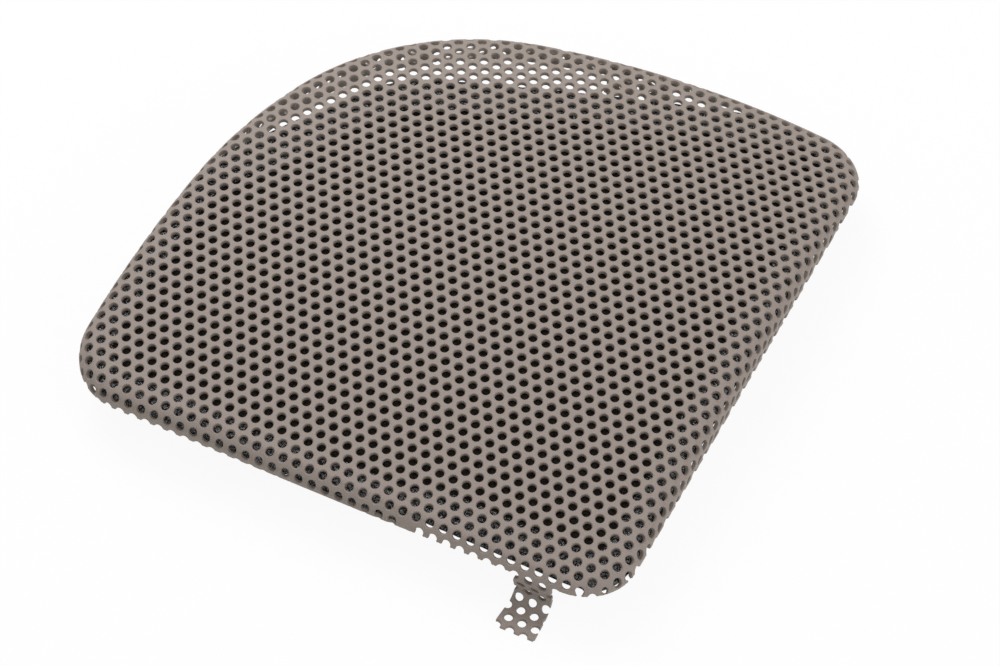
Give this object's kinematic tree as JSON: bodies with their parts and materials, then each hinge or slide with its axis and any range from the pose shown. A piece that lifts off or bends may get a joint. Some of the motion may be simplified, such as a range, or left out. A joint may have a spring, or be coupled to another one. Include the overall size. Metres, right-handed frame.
{
  "type": "loudspeaker grille cover",
  "caption": "Crowned perforated sheet-metal grille with a rolled edge, one rounded shoulder and three bent tabs, lined with a glued foam pad.",
  "frame": {"origin": "middle of the cover, in the plane of the rim that seats on the trim", "axes": "+X along the front edge, +Y to the back edge, +Z out of the visible face"},
  "size_m": [0.1709, 0.1867, 0.026],
  "materials": {
    "sheet_paint": "matte taupe paint on steel sheet",
    "adhesive": "glossy black adhesive film",
    "foam": "open-cell black foam"
  },
  "bodies": {
    "root": {"grille_sheet": "sheet_paint", "adhesive_band": "adhesive", "foam_pad": "foam"}
  },
  "joints": []
}
